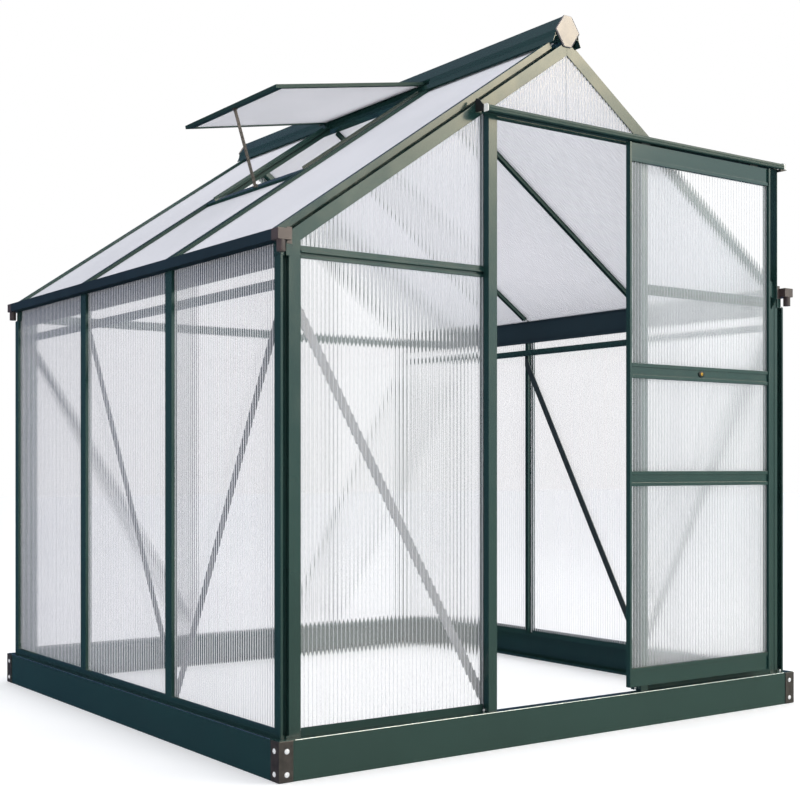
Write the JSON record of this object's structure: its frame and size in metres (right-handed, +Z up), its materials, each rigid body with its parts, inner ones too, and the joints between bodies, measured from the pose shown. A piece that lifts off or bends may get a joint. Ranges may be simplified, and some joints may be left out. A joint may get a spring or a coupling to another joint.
{
  "type": "walk-in polycarbonate greenhouse",
  "caption": "Gabled walk-in greenhouse with an extruded green frame, twin-wall glazing, a sliding gable door, a raised roof vent, gutters and a folded steel base.",
  "frame": {"origin": "on the ground under the middle of the overall footprint", "axes": "+Z up, +Y from the door gable towards the rear gable, +X to the right when facing the door gable"},
  "size_m": [1.9, 1.902, 2.0169],
  "materials": {
    "frame_green": "satin powder coat",
    "bracket_brown": "satin",
    "gutter_plastic": "moulded",
    "ridge_plastic": "moulded, glossy",
    "wall_sheet": "clear twin-wall sheet with vertical ribs",
    "roof_sheet": "clear twin-wall sheet with ribs down the slope",
    "brace_steel": "satin",
    "latch_black": "black with a brass-coloured centre",
    "stop_black": "moulded",
    "track_cap_light": "moulded",
    "hanger_grey": "nylon rollers"
  },
  "bodies": {
    "frame": {"base_front": "frame_green", "base_rear": "frame_green", "base_left": "frame_green", "base_right": "frame_green", "base_brackets": "bracket_brown", "corner_posts": "frame_green", "side_studs_left": "frame_green", "side_studs_right": "frame_green", "door_posts": "frame_green", "rear_posts": "frame_green", "gable_sills": "frame_green", "side_sills": "frame_green", "gutter_left": "frame_green", "gutter_right": "frame_green", "gutter_caps": "gutter_plastic", "eave_left": "frame_green", "eave_right": "frame_green", "gable_rails_front": "frame_green", "gable_rails_rear": "frame_green", "door_head": "frame_green", "side_rails": "frame_green", "ridge_beam": "frame_green", "ridge_caps": "ridge_plastic", "rafters_left": "frame_green", "rafters_right": "frame_green", "roof_bars_left": "frame_green", "roof_bars_right": "frame_green", "glazing_left": "wall_sheet", "glazing_right": "wall_sheet", "glazing_front": "wall_sheet", "glazing_rear": "wall_sheet", "roof_glazing_left": "roof_sheet", "roof_glazing_right": "roof_sheet", "vent_frame": "frame_green", "vent_glazing": "roof_sheet", "vent_sill": "frame_green", "vent_stay": "brace_steel", "braces_left": "brace_steel", "braces_right": "brace_steel", "braces_front": "brace_steel", "braces_rear": "brace_steel", "door_track": "frame_green", "track_caps": "track_cap_light", "track_bracket": "stop_black", "door_stop": "stop_black", "track_upright": "frame_green"},
    "door": {"door_stiles": "frame_green", "door_header": "frame_green", "door_lock_rail": "frame_green", "door_mid_rail": "frame_green", "door_bottom_rail": "frame_green", "door_glazing": "wall_sheet", "door_latch": "latch_black", "door_hangers": "hanger_grey"}
  },
  "joints": [
    {"name": "door_slide", "type": "slide", "parent": "frame", "child": "door", "axis": [1, 0, 0], "range_m": [-0.51, 0.04]}
  ]
}
